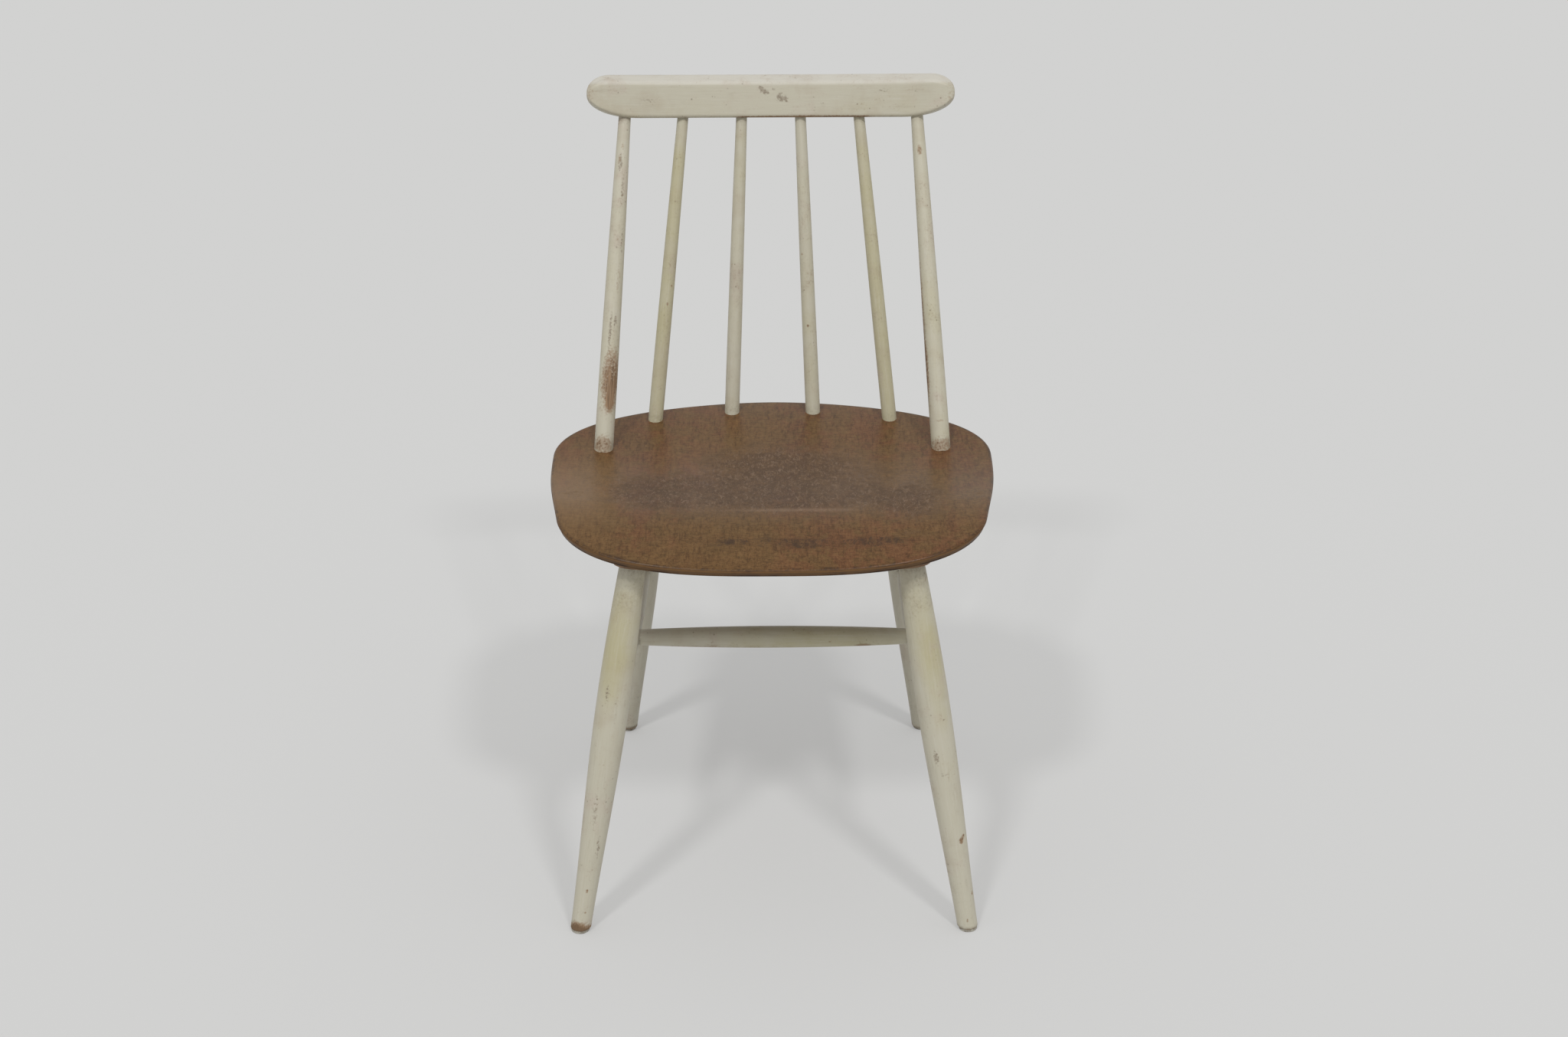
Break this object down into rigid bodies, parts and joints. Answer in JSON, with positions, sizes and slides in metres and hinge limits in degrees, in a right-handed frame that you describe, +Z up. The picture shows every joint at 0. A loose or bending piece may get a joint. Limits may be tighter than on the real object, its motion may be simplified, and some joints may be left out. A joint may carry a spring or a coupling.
{
  "type": "spindle-back side chair",
  "caption": "Weathered painted side chair with a dished plywood seat, splayed turned legs, stretchers and a spindle back under a curved crest rail.",
  "frame": {"origin": "the middle of the chair's bounding box, on the floor", "axes": "+Z up, +X to the right seen from the front, -Y the way the chair faces"},
  "size_m": [0.49, 0.558, 0.8066],
  "materials": {
    "cream_paint": "aged cream paint over turned beech, scuffed and chipped",
    "seat_veneer": "dark brown veneer, satin, scuffed in the middle",
    "frame_wood": "stained beech, matt",
    "screw_steel": "dull zinc plating",
    "glide_plastic": "worn grey-brown plastic"
  },
  "bodies": {
    "root": {"seat": "seat_veneer", "crest_rail": "cream_paint", "spindle_outer_left": "cream_paint", "spindle_outer_right": "cream_paint", "spindle_mid_left": "cream_paint", "spindle_mid_right": "cream_paint", "spindle_inner_left": "cream_paint", "spindle_inner_right": "cream_paint", "front_leg_left": "cream_paint", "front_leg_right": "cream_paint", "rear_leg_left": "cream_paint", "rear_leg_right": "cream_paint", "side_stretcher_left": "cream_paint", "side_stretcher_right": "cream_paint", "cross_stretcher": "cream_paint", "front_rail": "frame_wood", "rear_yoke": "frame_wood", "seat_screws": "screw_steel", "glide_front_left": "glide_plastic", "glide_front_right": "glide_plastic", "glide_rear_left": "glide_plastic", "glide_rear_right": "glide_plastic"}
  },
  "joints": []
}
